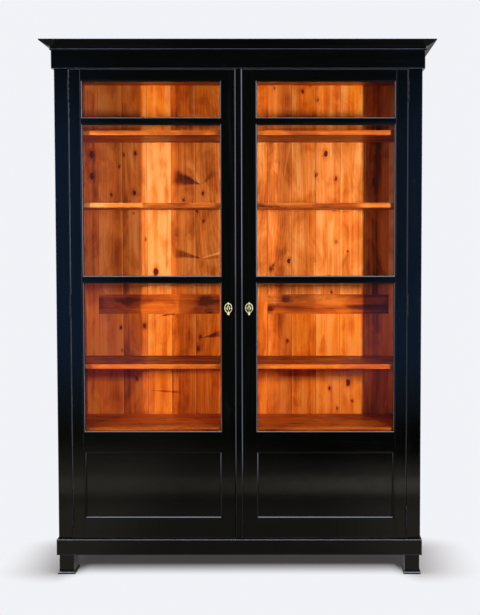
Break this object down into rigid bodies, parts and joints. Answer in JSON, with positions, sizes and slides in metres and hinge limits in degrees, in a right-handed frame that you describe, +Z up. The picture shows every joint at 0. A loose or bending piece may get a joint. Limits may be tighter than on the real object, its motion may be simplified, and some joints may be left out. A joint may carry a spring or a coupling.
{
  "type": "glazed bookcase",
  "caption": "Tall ebonised bookcase: moulded cornice, glazed doors over sunk wooden panels, low base on flared block feet, pine interior with lift-out shelves on notched racks.",
  "frame": {"origin": "on the floor under the middle of the box that holds the whole bookcase", "axes": "+Z up, -Y towards the person in front of the doors, +X to that person's right"},
  "size_m": [1.486, 0.456, 2.03],
  "materials": {
    "ebonised_wood": "black polish, glossy",
    "pine": "clear satin varnish, aged to orange brown",
    "glass": "clear window glass",
    "brass": "aged, pale",
    "hinge_steel": "dark, worn",
    "steel": "plain"
  },
  "bodies": {
    "case": {"base_front": "ebonised_wood", "base_sides": "ebonised_wood", "base_back": "ebonised_wood", "front_feet": "ebonised_wood", "back_feet": "ebonised_wood", "bottom_board": "pine", "fixed_board": "pine", "fixed_board_cleats": "pine", "left_front_post": "ebonised_wood", "right_front_post": "ebonised_wood", "back_posts": "ebonised_wood", "side_rails": "ebonised_wood", "side_panels": "ebonised_wood", "frieze_front": "ebonised_wood", "frieze_sides": "ebonised_wood", "cornice_front": "ebonised_wood", "cornice_returns": "ebonised_wood", "cornice_cover": "ebonised_wood", "ceiling_board": "pine", "back_stiles": "pine", "back_muntin": "pine", "back_rails": "pine", "back_boards": "pine", "shelf_racks": "pine", "shelf_battens": "pine", "case_hinge_leaves": "hinge_steel", "hinge_pins": "hinge_steel"},
    "left_door": {"left_hinge_stile": "ebonised_wood", "left_lock_stile": "ebonised_wood", "left_top_rail": "ebonised_wood", "left_lock_rail": "ebonised_wood", "left_bottom_rail": "ebonised_wood", "left_glazing_bars": "ebonised_wood", "left_glass_panes": "glass", "left_glazing_beads": "ebonised_wood", "left_lower_panel": "ebonised_wood", "left_panel_moulding": "ebonised_wood", "left_escutcheon": "brass", "left_door_hinge_leaves": "hinge_steel", "bolt_plates": "steel"},
    "right_door": {"right_hinge_stile": "ebonised_wood", "right_lock_stile": "ebonised_wood", "right_top_rail": "ebonised_wood", "right_lock_rail": "ebonised_wood", "right_bottom_rail": "ebonised_wood", "right_glazing_bars": "ebonised_wood", "right_glass_panes": "glass", "right_glazing_beads": "ebonised_wood", "right_lower_panel": "ebonised_wood", "right_panel_moulding": "ebonised_wood", "right_escutcheon": "brass", "right_door_hinge_leaves": "hinge_steel", "astragal": "ebonised_wood", "lock_case": "steel"},
    "lock_bolt": {"lock_bolt": "steel"},
    "top_bolt": {"top_bolt": "steel"},
    "bottom_bolt": {"bottom_bolt": "steel"},
    "shelf_upper": {"upper_shelf": "pine"},
    "shelf_middle": {"middle_shelf": "pine"},
    "shelf_lower": {"lower_shelf": "pine"}
  },
  "joints": [
    {"name": "left_door_swing", "type": "hinge", "parent": "case", "child": "left_door", "pos_m": [-0.64075, -0.1845, 1.031], "axis": [0, 0, -1], "range_deg": [0, 170]},
    {"name": "right_door_swing", "type": "hinge", "parent": "case", "child": "right_door", "pos_m": [0.64075, -0.1845, 1.031], "axis": [0, 0, 1], "range_deg": [0, 170]},
    {"name": "lock_bolt_slide", "type": "slide", "parent": "right_door", "child": "lock_bolt", "axis": [-1, 0, 0], "range_m": [0, 0.008]},
    {"name": "top_bolt_slide", "type": "slide", "parent": "left_door", "child": "top_bolt", "axis": [0, 0, 1], "range_m": [0, 0.012]},
    {"name": "bottom_bolt_slide", "type": "slide", "parent": "left_door", "child": "bottom_bolt", "axis": [0, 0, -1], "range_m": [0, 0.012]},
    {"name": "upper_shelf_lift", "type": "slide", "parent": "case", "child": "shelf_upper", "axis": [0, 0, 1], "range_m": [0, 0.04]},
    {"name": "middle_shelf_lift", "type": "slide", "parent": "case", "child": "shelf_middle", "axis": [0, 0, 1], "range_m": [0, 0.04]},
    {"name": "lower_shelf_lift", "type": "slide", "parent": "case", "child": "shelf_lower", "axis": [0, 0, 1], "range_m": [0, 0.04]}
  ]
}
